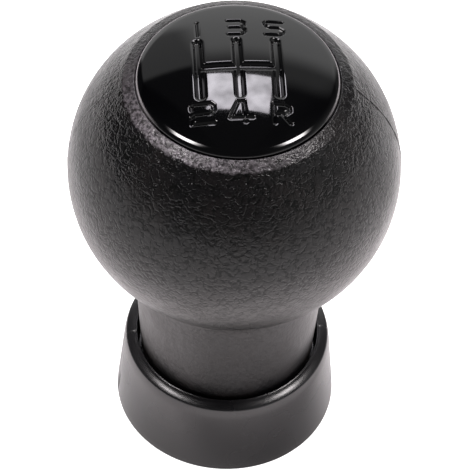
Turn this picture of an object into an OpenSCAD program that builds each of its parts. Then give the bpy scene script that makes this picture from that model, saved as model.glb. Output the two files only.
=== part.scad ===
// Gear shift knob: a grained ball grip on a tapered neck, a domed cap with a
// five-speed gate engraved in it, and a collar that hides the top of the boot.
// The origin is the centre of the collar's foot. +Z runs up the lever, +Y points
// away from the driver and +X points to the driver's right. Sizes are in millimetres.

/* [Insert] */
// Diameter of the lever's thread over its crests
thread_d = 12; // [10:0.25:12]
// Pitch of that thread
thread_pitch = 1.25; // [1:0.25:1.75]
// Thickness of the insert's wall, from the thread's core hole to its knurled bands
insert_wall = 3.2; // [2.4:0.1:4]
// Width of the flange outside the knurled bands
flange_lip = 1.5; // [1:0.1:2.5]
// Thickness of the flange
flange_t = 1.4; // [1:0.1:1.6]
// Length of the insert
insert_l = 24; // [19:1:27]
// Number of grooves between the knurled bands
groove_count = 2; // [1:1:3]
// Width of a groove
groove_w = 2.4; // [1.5:0.1:3]
// Depth of a groove
groove_depth = 1; // [0.6:0.1:1.2]
// Bevel at both mouths of the bore
mouth_bevel = 0.8; // [0.6:0.1:1]

/* [Grip] */
// Diameter of the ball across its waist
ball_d = 52; // [49:1:56]
// Half of the ball's height, a little less than half its width
ball_rise = 25.2; // [24.4:0.2:26.6]
// Height of the ball's centre above the foot
ball_z = 56; // [53:1:64]
// Thickness of the moulded skin over the ball
skin_t = 2.4; // [1.8:0.2:3]
// Widening of the neck's radius for each millimetre of height
neck_taper = 0.065; // [0.03:0.005:0.1]
// Thickness of the moulded skin over the neck
neck_skin_t = 1.4; // [1.1:0.1:1.6]
// Length of the blend between the neck and the underside of the ball
neck_blend = 3; // [2:0.2:4]

/* [Cap] */
// Diameter of the domed cap
badge_d = 31; // [28:0.5:32]
// Radius of the dome
crown_r = 50; // [44:2:70]
// Radius of the rolled edge round the dome
roll_r = 1.6; // [1:0.1:1.8]
// How far the rolled edge runs down below the edge of the skin
rim_sink = 0.6; // [0.2:0.1:0.8]
// Depth of the cap's rim below the edge of the skin
rim_h = 2; // [1.6:0.1:2.4]
// Width of the rim's lower face, outside the hollow
rim_w = 2; // [1.6:0.1:2.6]
// Thickness of the dome over the edge of the hollow
badge_t = 2; // [1.6:0.1:2.2]
// Width of the flatter band of skin that frames the cap
frame_w = 1.95; // [1.2:0.05:2.4]
// Slope of that band in degrees
frame_slope = 26; // [20:1:34]
// Height of the band's crisp outer edge over the ball's own curve
frame_proud = 0.25; // [0.1:0.05:0.4]
// Width of the cone that leads from that edge back into the ball
frame_run = 2.4; // [1.6:0.1:3]
// Thickness of the double-sided foam pad that holds the cap
pad_t = 0.8; // [0.5:0.1:1]
// Distance from the pad's edge to the wall of the cap's hollow
pad_inset = 0.6; // [0.3:0.1:1]

/* [Gate] */
// Distance between neighbouring slots of the gate
gate_pitch = 5.95; // [5:0.05:7]
// Length of a slot over its round ends
gate_l = 12.4; // [10:0.1:14]
// Width of a slot
gate_w = 1.65; // [1.2:0.05:2.2]
// Depth of the engraving
gate_depth = 0.6; // [0.3:0.1:0.9]
// Distance from the cap's centre to the crossbar
gate_y = 0.45; // [0:0.05:1.5]

/* [Collar] */
// Widening of the collar's radius from its top to its foot
collar_flare = 1.3; // [0.6:0.1:2]
// Width of the flat land between the rounded shoulder and the well
land_w = 0.8; // [0.6:0.1:2]
// Height of the collar
collar_h = 14.9; // [14.5:0.1:17]
// Width of the rounded shoulder
shoulder_w = 1.1; // [0.8:0.1:1.5]
// Height of the rounded shoulder
shoulder_h = 3.8; // [2:0.2:5]
// Thickness of the skirt's wall
skirt_t = 1.8; // [1.6:0.1:2]
// Depth of the well that takes the lower end of the neck
well_depth = 4.9; // [4:0.1:5.2]
// Width of the open groove between the well and the neck
well_gap = 0.5; // [0.3:0.05:0.7]
// Thickness of the web between the skirt and the hub
web_t = 1.6; // [1.2:0.1:1.8]
// Length of the hub below the web
hub_l = 1.4; // [1:0.1:1.6]
// Thickness of the hub's wall
hub_t = 1.4; // [1:0.1:1.6]
// Number of ribs between the hub and the skirt
rib_count = 12; // [6:2:16]
// Thickness of a rib
rib_t = 1; // [0.8:0.1:1.4]
// Radius of the small edges of the collar
edge_r = 0.3; // [0.2:0.05:0.4]

/* [Core] */
// Thickness of the stem's wall round the insert's flange
stem_wall = 2; // [1.6:0.1:3]
// Width of the step from the stem out to the neck's core
stem_step = 0.5; // [0.3:0.1:1]
// Length of the stem below the retaining ring
stem_end = 1.15; // [0.8:0.05:1.4]
// Width of the two keys that stop the collar from turning
key_w = 4; // [3:0.5:6]
// Height of the keys over the stem
key_h = 0.8; // [0.5:0.1:1]
// Depth of the bore above the insert, where the end of the lever stands
lever_room = 9; // [4:1:14]
// Clearance round the lever in that bore
lever_gap = 0.7; // [0.4:0.1:1]

/* [Retaining ring] */
// Thickness of the steel ring that holds the collar on the stem
clip_t = 1.2; // [0.9:0.1:1.3]
// Depth of the ring's seat in the stem
clip_seat = 0.8; // [0.6:0.1:1]
// Width of the ring from bore to rim
clip_w = 1.8; // [1.5:0.1:2]
// Gap between the ring's ends in degrees
clip_gap = 24; // [18:1:40]
// Diameter of the eyes at the ring's ends
eye_d = 3.2; // [2.6:0.1:3.4]
// Diameter of the holes in the eyes
eye_hole_d = 1.4; // [1:0.1:1.6]

/* [Boot ring] */
// Height of the split ring that holds the top of the boot in the skirt
boot_ring_h = 2.8; // [2.4:0.1:3]
// Thickness of that ring
boot_ring_t = 1.2; // [0.9:0.1:1.4]
// Height of the ring's lower edge above the foot
boot_ring_z = 0.8; // [0.5:0.1:1]
// Width of the split in the ring
boot_ring_split = 5; // [3:0.5:8]
// Number of latches on the ring
latch_count = 4; // [2:2:6]
// Width of a latch in degrees
latch_span = 20; // [12:1:26]
// Height of a latch
latch_h = 1.2; // [0.9:0.1:1.4]
// How far a latch reaches into the skirt
latch_reach = 0.7; // [0.5:0.1:0.9]

/* [Fits] */
// Clearance between pieces that are moulded or pressed together
snug = 0.05; // [0.03:0.01:0.1]
// Clearance between pieces that are put together by hand
slide = 0.15; // [0.1:0.01:0.2]

/* [Hidden] */
$fn = 96;
arc_steps = 8;
ball_steps = 36;
over = 1;

// Radii from the lever's thread outwards: insert, stem, neck, well and collar
bore_r = thread_d/2 - 0.5413*thread_pitch;
insert_r = bore_r + insert_wall;
flange_r = insert_r + flange_lip;
stem_r = flange_r + stem_wall;
neck_foot_r = stem_r + stem_step + neck_skin_t;
hub_r = stem_r + slide;
well_r = neck_foot_r + neck_taper*well_depth + well_gap;
collar_top_r = well_r + land_w + shoulder_w;
collar_r = collar_top_r + collar_flare;
skirt_slope = collar_flare/collar_h;
clip_r = stem_r - clip_seat + snug;

// Heights from the collar's top downwards: web, hub, retaining ring and stem
web_z = collar_h - well_depth;
web_low = web_z - web_t;
hub_z = web_low - hub_l;
neck_z = web_z + slide;
clip_z = hub_z - slide - clip_t;
stem_z = clip_z - stem_end;

// Cap: its rolled edge sinks below the edge of the skin round it
opening_r = badge_d/2 + slide;
frame_r = opening_r + frame_w;
frame_z = ball_z + ball_rise*sqrt(1 - pow(frame_r/(ball_d/2), 2)) + frame_proud;
rim_z = frame_z + frame_w*tan(frame_slope);
badge_z = rim_z - rim_h;
roll_c = badge_d/2 - roll_r;
roll_a = asin(roll_c/(crown_r - roll_r));
roll_z = rim_z - rim_sink;
crown_c = roll_z - (crown_r - roll_r)*cos(roll_a);
hollow_r = badge_d/2 - rim_w;
hollow_z = dome_z(hollow_r) - badge_t;
pad_r = hollow_r - pad_inset;
pad_z = hollow_z - snug - pad_t;

// Insert: flush with the stem's lower end
insert_z = stem_z + snug;
insert_top = insert_z + insert_l;
band_l = (insert_l - flange_t - groove_count*groove_w)/(groove_count + 1);

// Radius of the neck's skin at a height above the foot
function neck_r(z) = neck_foot_r + neck_taper*(z - web_z);

// Radius of the skirt's inner face at a height above the foot
function skirt_r(z) = collar_r - skirt_t - skirt_slope*z;

// Height of the dome at a distance from the axis
function dome_z(r) = crown_c + sqrt(pow(crown_r, 2) - pow(r, 2));

// Points of an arc round a centre, from one angle to another
function arc(c, r, a0, a1, steps = arc_steps) =
    [for (i = [0:steps]) let (a = a0 + (a1 - a0)*i/steps) c + r*[cos(a), sin(a)]];

// Point of the ball's outline at an angle above its waist, a depth inside the skin
function ball_point(depth, a) =
    [(ball_d/2 - depth)*cos(a), ball_z + (ball_rise - depth)*sin(a)];

// Angle on the ball's outline, above its waist, at a distance from the axis
function ball_angle(depth, r) = acos(r/(ball_d/2 - depth));

// Height above the ball's centre where the neck's line meets the ball's outline
function junction(depth, neck_depth) =
    let (a = ball_d/2 - depth,
         b = ball_rise - depth,
         n = neck_r(ball_z) - neck_depth,
         p = pow(neck_taper/a, 2) + 1/pow(b, 2),
         q = n*neck_taper/pow(a, 2),
         s = pow(n/a, 2) - 1)
    (-q - sqrt(q*q - p*s))/p;

// Points of a curve that leaves p0 and reaches p2 along the lines to the corner p1
function blend(p0, p1, p2, steps = arc_steps) =
    [for (i = [0:steps]) let (t = i/steps) pow(1 - t, 2)*p0 + 2*t*(1 - t)*p1 + t*t*p2];

// Outline of neck and ball, a depth inside the skin, from the neck's lower end
// to the place at the top of the ball that lies r_top from the axis
function grip_outline(depth, neck_depth, z0, r_top) =
    let (u = junction(depth, neck_depth),
         z = ball_z + u,
         corner = [neck_r(z) - neck_depth, z],
         low = [neck_r(z - neck_blend) - neck_depth, z - neck_blend],
         a_corner = asin(u/(ball_rise - depth)),
         a0 = a_corner + neck_blend/(ball_rise - depth)*180/PI,
         a1 = ball_angle(depth, r_top))
    concat([[neck_r(z0) - neck_depth, z0]],
           blend(low, corner, ball_point(depth, a0)),
           [for (i = [1:ball_steps]) ball_point(depth, a0 + (a1 - a0)*i/ball_steps)]);

// Same outline, run from the top down
function reversed(points) = [for (i = [len(points) - 1:-1:0]) points[i]];

// Copies on a circle round the axis
module around(count, start = 0) {
    for (i = [0:count - 1])
        rotate([0, 0, start + 360*i/count])
            children();
}

// Plain disc or ring section between two heights
module ring(r_in, r_out, z0, z1) {
    difference() {
        translate([0, 0, z0]) cylinder(r = r_out, h = z1 - z0);
        translate([0, 0, z0 - over]) cylinder(r = r_in, h = z1 - z0 + 2*over);
    }
}

// Slot with round ends, seen from above
module slot_plan(length, width) {
    square([width, length - width], center = true);
    for (end = [-1, 1])
        translate([0, end*(length - width)/2]) circle(d = width);
}

// Gate of five forward speeds and reverse, seen from above
module gate_plan() {
    for (column = [-1:1])
        translate([column*gate_pitch, 0]) slot_plan(gate_l, gate_w);
    square([2*gate_pitch, gate_w], center = true);
}

// Engraving that keeps one depth under the dome
module gate_cut() {
    difference() {
        translate([0, gate_y, rim_z]) linear_extrude(height = crown_r) gate_plan();
        translate([0, 0, crown_c]) sphere(r = crown_r - gate_depth, $fn = 180);
    }
}

// Domed cap with its rolled edge, upright rim and hollow underside
module badge() {
    crown = arc([0, crown_c], crown_r, 90, 90 - roll_a, 16);
    roll = arc([roll_c, roll_z], roll_r, 90 - roll_a, 0);
    color([0.03, 0.03, 0.035])
    difference() {
        rotate_extrude()
            polygon(concat([[0, hollow_z]], crown, roll,
                           [[badge_d/2, badge_z], [hollow_r, badge_z], [hollow_r, hollow_z]]));
        gate_cut();
    }
}

// Foam pad between the cap and the core's pedestal
module badge_pad() {
    color([0.85, 0.85, 0.82])
    translate([0, 0, pad_z]) cylinder(r = pad_r, h = pad_t);
}

// Moulded skin of ball and neck, with the flatter band round the cap
module grip_skin() {
    outside = grip_outline(0, 0, neck_z + edge_r, frame_r + frame_run);
    inside = grip_outline(skin_t, neck_skin_t, neck_z, opening_r);
    foot = arc([neck_r(neck_z) - edge_r, neck_z + edge_r], edge_r, -90, 0, 4);
    lip = arc([opening_r + edge_r, rim_z - edge_r], edge_r, 90 - frame_slope, 180, 4);
    color([0.12, 0.12, 0.12])
    rotate_extrude()
        polygon(concat(foot, outside, [[frame_r, frame_z]], lip, reversed(inside)));
}

// Rigid core: pedestal for the cap, ball, neck and the stem that carries the collar
module core_blank() {
    outside = grip_outline(skin_t + snug, neck_skin_t + snug, neck_z, opening_r - snug);
    rotate_extrude()
        polygon(concat([[0, stem_z], [stem_r - edge_r, stem_z], [stem_r, stem_z + edge_r],
                        [stem_r, neck_z]],
                       outside,
                       [[opening_r - snug, badge_z - snug], [pad_r, badge_z - snug],
                        [pad_r, pad_z - snug], [0, pad_z - snug]]));
}

// Keys on both sides of the stem, beside the parting line of the mould
module keys(width, height, z0, z1) {
    for (side = [0, 180])
        rotate([0, 0, side])
            translate([0, -width/2, z0]) cube([stem_r + height, width, z1 - z0]);
}

module core() {
    bore = insert_r + snug;
    room = thread_d/2 + lever_gap;
    room_top = insert_top + lever_room;
    color([0.2, 0.2, 0.21])
    difference() {
        union() {
            core_blank();
            keys(key_w, key_h, web_low + slide, web_z);
        }
        rotate_extrude()
            polygon([[0, stem_z - over], [flange_r + snug, stem_z - over],
                     [flange_r + snug, insert_z + flange_t + snug],
                     [bore, insert_z + flange_t + snug], [bore, insert_top + snug],
                     [room, insert_top + snug], [room, room_top], [0, room_top + room/2]]);
        ring(clip_r - snug, 2*stem_r, clip_z - slide, hub_z);
    }
}

// Brass insert with a flange, knurled bands and grooves that hold it in the core
module threaded_insert() {
    color([0.75, 0.6, 0.3])
    difference() {
        union() {
            translate([0, 0, insert_z]) cylinder(r = flange_r, h = flange_t);
            translate([0, 0, insert_z]) cylinder(r = insert_r, h = insert_l);
        }
        for (i = [0:groove_count - 1])
            let (z = insert_z + flange_t + band_l + i*(band_l + groove_w))
            ring(insert_r - groove_depth, 2*insert_r, z, z + groove_w);
        rotate_extrude()
            polygon([[0, insert_z - over], [bore_r + mouth_bevel + over, insert_z - over],
                     [bore_r, insert_z + mouth_bevel], [bore_r, insert_top - mouth_bevel],
                     [bore_r + mouth_bevel + over, insert_top + over], [0, insert_top + over]]);
    }
}

// Tapered skirt, rounded shoulder, well for the neck, web and hub, all one moulding
module collar_shell() {
    shoulder = blend([collar_top_r + skirt_slope*shoulder_h, collar_h - shoulder_h],
                     [collar_top_r, collar_h], [collar_top_r - shoulder_w, collar_h]);
    lip = arc([well_r + edge_r, collar_h - edge_r], edge_r, 90, 180, 4);
    rotate_extrude()
        polygon(concat([[skirt_r(0), 0], [collar_r - edge_r, 0], [collar_r - skirt_slope*edge_r, edge_r]],
                       shoulder, lip,
                       [[well_r, web_z], [hub_r, web_z], [hub_r, hub_z],
                        [hub_r + hub_t, hub_z], [hub_r + hub_t, web_low],
                        [skirt_r(web_low), web_low]]));
}

// Latch of the boot ring, or with a clearance the pocket for it, as a wedge on a circle
module latch(clear) {
    z0 = boot_ring_z + (boot_ring_h - latch_h)/2 - clear;
    z1 = z0 + latch_h + 2*clear;
    r0 = skirt_r(z0) - slide - boot_ring_t/2;
    r1 = skirt_r(z0) + latch_reach + clear;
    span = latch_span + 2*atan(clear/skirt_r(z0));
    rotate([0, 0, -span/2])
        rotate_extrude(angle = span)
            polygon([[r0, z0], [r1, z0], [r1 - latch_reach/2, z1], [r0, z1]]);
}

module collar() {
    color([0.09, 0.09, 0.095])
    difference() {
        union() {
            collar_shell();
            around(rib_count, 180/rib_count)
                translate([hub_r + hub_t/2, -rib_t/2, hub_z])
                    cube([skirt_r(hub_z) - hub_r - hub_t/2 + skirt_t/3, rib_t, web_low - hub_z + web_t/2]);
        }
        keys(key_w + 2*slide, key_h + 2*slide, web_low, web_z + over);
        around(latch_count, 180/latch_count) latch(slide);
    }
}

// Open steel ring, sprung into its seat in the stem, that ends in two round eyes
module snap_ring() {
    eye_r = clip_r + clip_w;
    eye_a = clip_gap/2 + asin(eye_d/2/eye_r);
    color([0.6, 0.6, 0.62])
    translate([0, 0, clip_z])
    difference() {
        union() {
            rotate([0, 0, -90 + eye_a])
                rotate_extrude(angle = 360 - 2*eye_a)
                    translate([clip_r, 0]) square([clip_w, clip_t]);
            for (side = [-1, 1])
                rotate([0, 0, -90 + side*eye_a])
                    translate([eye_r, 0, 0]) cylinder(d = eye_d, h = clip_t);
        }
        for (side = [-1, 1])
            rotate([0, 0, -90 + side*eye_a])
                translate([eye_r, 0, -over]) cylinder(d = eye_hole_d, h = clip_t + 2*over);
    }
}

// Split ring that presses the top of the boot against the skirt
module boot_ring() {
    z1 = boot_ring_z + boot_ring_h;
    color([0.14, 0.14, 0.15])
    difference() {
        union() {
            rotate_extrude()
                polygon([[skirt_r(boot_ring_z) - slide - boot_ring_t, boot_ring_z],
                         [skirt_r(boot_ring_z) - slide, boot_ring_z],
                         [skirt_r(z1) - slide, z1],
                         [skirt_r(z1) - slide - boot_ring_t, z1]]);
            around(latch_count, 180/latch_count) latch(0);
        }
        translate([-boot_ring_split/2, 0, boot_ring_z - over])
            cube([boot_ring_split, 2*collar_r, boot_ring_h + 2*over]);
    }
}

badge();
badge_pad();
grip_skin();
core();
threaded_insert();
collar();
snap_ring();
boot_ring();
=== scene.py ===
"""Looks of a gear shift knob: gloss cap with an engraved gate, grained grip and satin collar.

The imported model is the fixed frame. The origin is the centre of the collar's foot, +Z runs up
the lever and +Y points away from the driver. Sizes in the making are millimetres and are
turned to metres when a mesh is made.
"""
import math

import bpy
import numpy as np
from mathutils import Matrix, Vector


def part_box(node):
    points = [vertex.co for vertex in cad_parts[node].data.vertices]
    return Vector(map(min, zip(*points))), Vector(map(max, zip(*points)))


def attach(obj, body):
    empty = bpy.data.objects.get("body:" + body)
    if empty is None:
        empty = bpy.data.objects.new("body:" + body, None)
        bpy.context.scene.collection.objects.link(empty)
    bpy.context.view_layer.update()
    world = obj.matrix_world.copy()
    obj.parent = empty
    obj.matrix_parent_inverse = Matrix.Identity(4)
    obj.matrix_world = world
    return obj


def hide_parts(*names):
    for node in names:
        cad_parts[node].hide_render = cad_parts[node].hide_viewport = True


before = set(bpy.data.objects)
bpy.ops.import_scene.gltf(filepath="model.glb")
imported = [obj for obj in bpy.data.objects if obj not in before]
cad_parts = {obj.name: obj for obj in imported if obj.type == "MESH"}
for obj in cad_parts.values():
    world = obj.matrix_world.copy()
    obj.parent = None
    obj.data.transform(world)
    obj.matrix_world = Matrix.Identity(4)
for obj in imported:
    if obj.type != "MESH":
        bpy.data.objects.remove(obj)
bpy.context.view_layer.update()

bl_info = {
    "name": "Gear shift knob",
    "version": (1, 0, 0),
    "blender": (4, 5, 0),
    "location": "3D View > Sidebar > Knob",
    "description": "Builds a five-speed gear shift knob with cap, grip, collar and insert",
    "category": "Add Mesh",
}

MM = 0.001


def node_box(name):
    """Lowest and highest corner of a CAD node in millimetres."""
    low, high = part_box(name)
    return np.array(low)/MM, np.array(high)/MM


# Sizes that follow from the frame: ball, neck, cap and collar
SKIN_LOW, SKIN_HIGH = node_box("grip_skin")
CAP_LOW, CAP_HIGH = node_box("badge")
INSERT_LOW, INSERT_HIGH = node_box("threaded_insert")

BALL_R = 26.0
BALL_RISE = 25.2
BALL_Z = 56.0
SKIN_T = 2.4
NECK_SKIN_T = 1.4
NECK_TAPER = 0.065
NECK_BLEND = 3.0
NECK_LOW = float(SKIN_LOW[2])
NECK_FOOT_R = 13.9234
NECK_FOOT_Z = 10.0

CAP_R = float(CAP_HIGH[0])
CROWN_R = 50.0
ROLL_R = 1.6
RIM_H = 2.0
RIM_SINK = 0.6
RIM_Z = float(CAP_LOW[2]) + RIM_H
HOLLOW_R = CAP_R - 2.0
ROLL_C = CAP_R - ROLL_R
ROLL_A = math.asin(ROLL_C/(CROWN_R - ROLL_R))
CROWN_C = RIM_Z - RIM_SINK - (CROWN_R - ROLL_R)*math.cos(ROLL_A)
HOLLOW_Z = CROWN_C + math.sqrt(CROWN_R**2 - HOLLOW_R**2) - 2.0

# Gate and the field of the cap that is cut to it
GATE_PITCH = 5.95
GATE_L = 12.4
GATE_Y = 0.45
FIELD_LOW = (-8.2, -11.1)
FIELD_HIGH = (8.2, 11.5)
FIELD_STEP = 0.085

OPENING_R = CAP_R + 0.15
FRAME_R = OPENING_R + 1.95
FRAME_PROUD = 0.25
FRAME_RUN = 2.4
FRAME_Z = BALL_Z + BALL_RISE*math.sqrt(1 - (FRAME_R/BALL_R)**2) + FRAME_PROUD

COLLAR_H = float(node_box("collar")[1][2])
COLLAR_R = 17.9419
COLLAR_TOP_R = 16.6419
WELL_R = 14.7419
SKIRT_T = 1.8
WEB_Z = 10.0
WEB_LOW = 8.4
HUB_Z = 7.0
HUB_R = 12.1734
HUB_T = 1.4
STEM_R = 12.0234
KEY_REACH = 1.1
KEYWAY_W = 4.3
LATCH_Z = 1.6
LATCH_H = 1.2
LATCH_CLEAR = 0.15
LATCH_SPAN = 21.1
EDGE_R = 0.3
LIP_R = 0.12
NICK_AT = math.radians(183.2)
SKIRT_SLOPE = (COLLAR_R - COLLAR_TOP_R)/COLLAR_H

INSERT_Z = float(INSERT_LOW[2])
INSERT_TOP = float(INSERT_HIGH[2])
FLANGE_R = float(INSERT_HIGH[0])
FLANGE_T = 1.4
BAND_R = 8.5234
BORE_R = 5.3234
GROOVE_W = 2.4
GROOVE_DEPTH = 1.0
MOUTH_BEVEL = 0.8
BAND_L = (INSERT_TOP - INSERT_Z - FLANGE_T - 2*GROOVE_W)/3


def srgb(code):
    """Linear colour of a hex code such as #1B1A1C."""
    parts = [int(code[i:i + 2], 16)/255 for i in (1, 3, 5)]
    linear = [c/12.92 if c <= 0.04045 else ((c + 0.055)/1.055)**2.4 for c in parts]
    return (*linear, 1.0)


def colour(name, description, code):
    """Property for a finish's colour."""
    return bpy.props.FloatVectorProperty(name=name, description=description, subtype="COLOR",
                                         size=4, min=0, max=1, default=srgb(code))


def length(name, description, mm, most):
    """Property for a length, kept in metres."""
    return bpy.props.FloatProperty(name=name, description=description, subtype="DISTANCE",
                                   unit="LENGTH", precision=6, min=0, max=most*MM, default=mm*MM)


class KnobCap(bpy.types.PropertyGroup):
    plastic: colour("Plastic", "Colour of the polished cap", "#030304")
    gate_depth: length("Gate depth", "Depth of the engraved gate and numbers", 0.6, 0.9)
    gate_width: length("Gate width", "Width of a slot of the gate", 1.65, 2.2)
    digit_width: length("Digit width", "Width of a number's stroke", 0.6, 1.0)
    edge_soft: length("Edge softness", "Width over which the engraving's wall turns", 0.85, 1.2)


class KnobSkin(bpy.types.PropertyGroup):
    plastic: colour("Skin", "Colour of the grained skin", "#0A090B")
    band: colour("Band", "Colour of the dull band round the cap", "#756F74")
    grain: length("Grain", "Width of a cell of the leather grain", 0.95, 3.0)
    grain_depth: length("Grain depth", "Depth of the creases between the cells", 0.078, 0.4)
    parting: length("Parting line", "Height of the mould's parting line", 0.07, 0.2)
    parting_angle: bpy.props.FloatProperty(
        name="Parting angle", description="Turn of the parting line from the cap's row",
        subtype="ANGLE", unit="ROTATION", default=math.radians(-3))


class KnobCollar(bpy.types.PropertyGroup):
    plastic: colour("Collar", "Colour of the satin collar", "#1B1A1C")
    inner: colour("Core", "Colour of core and boot ring", "#242326")
    ribs: bpy.props.IntProperty(name="Ribs", description="Number of ribs under the web",
                                min=6, max=16, default=12)
    rib_width: length("Rib width", "Thickness of a rib", 1.0, 1.4)


class KnobInsert(bpy.types.PropertyGroup):
    metal: colour("Brass", "Colour of the turned brass", "#C29B56")
    pitch: length("Pitch", "Pitch of the lever's thread", 1.25, 1.75)
    thread_depth: length("Thread depth", "Depth of the thread", 0.677, 1.0)
    knurl: bpy.props.IntProperty(name="Knurl", description="Number of teeth round a band",
                                 min=30, max=120, default=72)


class KnobStage(bpy.types.PropertyGroup):
    ground: colour("Ground", "Colour of the ground", "#F4F4F4")
    lens: bpy.props.FloatProperty(name="Lens", description="Focal length of the camera",
                                  subtype="DISTANCE_CAMERA", unit="CAMERA", default=285.2)
    main_light: bpy.props.FloatProperty(name="Main light", description="Radiance of the softbox",
                                        min=0, default=10.0)
    side_light: bpy.props.FloatProperty(name="Side lights", description="Radiance at both sides",
                                        min=0, default=34.0)


def plug(tree, made, sockets):
    """Gives sockets of a node a value or another node's output."""
    for key, value in sockets.items():
        if isinstance(value, bpy.types.NodeSocket):
            tree.links.new(value, made.inputs[key])
        else:
            made.inputs[key].default_value = value


def add(tree, kind, settings=None, sockets=None):
    """Adds a node with its settings and what goes into its sockets."""
    made = tree.nodes.new(kind)
    for key, value in (settings or {}).items():
        setattr(made, key, value)
    plug(tree, made, sockets or {})
    return made


def emptied(data):
    """Node tree of a material or world, with nothing in it."""
    data.use_nodes = True
    data.node_tree.nodes.clear()
    return data.node_tree


def new_material(name, **constants):
    """Material with one Principled shader; its constants go on the shader's own sockets."""
    material = bpy.data.materials.new(name)
    tree = emptied(material)
    shader = add(tree, "ShaderNodeBsdfPrincipled", None, constants)
    add(tree, "ShaderNodeOutputMaterial", sockets={"Surface": shader.outputs[0]})
    where = add(tree, "ShaderNodeTexCoord").outputs["Object"]
    return material, tree, shader, where


def apart(tree, where):
    """The three parts of a vector."""
    return add(tree, "ShaderNodeSeparateXYZ", None, {0: where}).outputs


def vector(tree, x=0.0, y=0.0, z=0.0):
    """Vector from its three parts."""
    return add(tree, "ShaderNodeCombineXYZ", None, {0: x, 1: y, 2: z}).outputs[0]


def vector_node(tree, operation, *values):
    """Output of a node that works on one or two vectors."""
    made = add(tree, "ShaderNodeVectorMath", {"operation": operation}, dict(enumerate(values)))
    return made.outputs["Value" if operation == "LENGTH" else "Vector"]


def math_node(tree, operation, *values):
    """Output of a node that works on one, two or three values."""
    return add(tree, "ShaderNodeMath", {"operation": operation}, dict(enumerate(values))).outputs[0]


def product(tree, first, *others):
    """Product of two or more values."""
    for value in others:
        first = math_node(tree, "MULTIPLY", first, value)
    return first


def spread(tree, value, low, high, start=0.0, end=1.0, kind="LINEAR"):
    """Carries a value from the range of start and end to the range of low and high."""
    return add(tree, "ShaderNodeMapRange", {"interpolation_type": kind},
               {"Value": value, "From Min": start, "From Max": end,
                "To Min": low, "To Max": high}).outputs[0]


def eased(tree, value, low, high, start=0.0, end=1.0):
    """Carries a value over as spread does, with soft ends."""
    return spread(tree, value, low, high, start, end, "SMOOTHSTEP")


def cells(tree, where, size, width):
    """Height of rounded cells with creases between them; 1 on a cell, 0 in a crease."""
    edge = add(tree, "ShaderNodeTexVoronoi", {"feature": "DISTANCE_TO_EDGE"},
               {"Vector": where, "Scale": 1/size, "Randomness": 1.0})
    return spread(tree, edge.outputs[0], 0.0, 1.0, 0.0, width, "SMOOTHERSTEP")


def noise(tree, where, size, detail=2.0, rough=0.5, out=0):
    """Noise whose features are about one size in metres; output 1 is its colour."""
    return add(tree, "ShaderNodeTexNoise", None,
               {"Vector": where, "Scale": 1/size, "Detail": detail,
                "Roughness": rough}).outputs[out]


def mix(tree, factor, first, second):
    """Mixes two colours."""
    made = add(tree, "ShaderNodeMix", {"data_type": "RGBA"}, {0: factor, 6: first, 7: second})
    return made.outputs[2]


def choose(tree, factor, first, second):
    """Mixes two values."""
    made = add(tree, "ShaderNodeMix", {"data_type": "FLOAT"}, {0: factor, 2: first, 3: second})
    return made.outputs[0]


def shaded(tree, shader, depth, height, base, rough, **others):
    """Gives the shader a relief of a depth in metres, its colour and its roughness."""
    relief = add(tree, "ShaderNodeBump", None,
                 {"Strength": 1.0, "Distance": depth, "Height": height})
    plug(tree, shader, {"Normal": relief.outputs[0], "Base Color": base, "Roughness": rough,
                        **others})


def polished_plastic(name, tint):
    """Gloss ABS from a polished mould: mirror-like, with the faint waves of shrinkage, a haze
    of fine wiping marks, and a painted highlight: a thin light line painted along the edge,
    left off in front."""
    material, tree, shader, where = new_material(name, IOR=1.54)
    waves = noise(tree, where, 0.0065, 1.0)
    haze = noise(tree, where, 0.0009, 3.0)
    x, y = apart(tree, where)[:2]
    radius = vector_node(tree, "LENGTH", vector(tree, x, y))
    # Painted highlight: the outermost edge is painted light grey and made rougher, except in front
    painted_rim_highlight = product(tree, spread(tree, radius, 0.0, 1.0, (CAP_R - 0.26)*MM, (CAP_R - 0.14)*MM),
                     spread(tree, y, 0.0, 1.0, -0.009, -0.003))
    shaded(tree, shader, 0.000012, waves, mix(tree, painted_rim_highlight, tint, srgb("#8A8587")),
           math_node(tree, "MULTIPLY_ADD", painted_rim_highlight, 0.25, spread(tree, haze, 0.03, 0.075)))
    return material


def leather_grain(tree, where, size):
    """Irregular folds and fine cells of a leather grain; 1 on top, 0 in a crease."""
    push = vector_node(tree, "SUBTRACT", noise(tree, where, 0.0017, 3.0, out=1), (0.5, 0.5, 0.5))
    push = vector_node(tree, "MULTIPLY", push, (0.0015, 0.0015, 0.0015))
    bent = vector_node(tree, "ADD", where, push)
    fold = noise(tree, bent, size*1.6, 2.5, 0.55)
    fold = math_node(tree, "ABSOLUTE", math_node(tree, "SUBTRACT", fold, 0.5))
    fold = eased(tree, fold, 0.0, 1.0, 0.0, 0.075)
    return math_node(tree, "MULTIPLY_ADD", fold, 0.62,
                     product(tree, cells(tree, bent, size, 0.3), 0.38))


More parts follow.
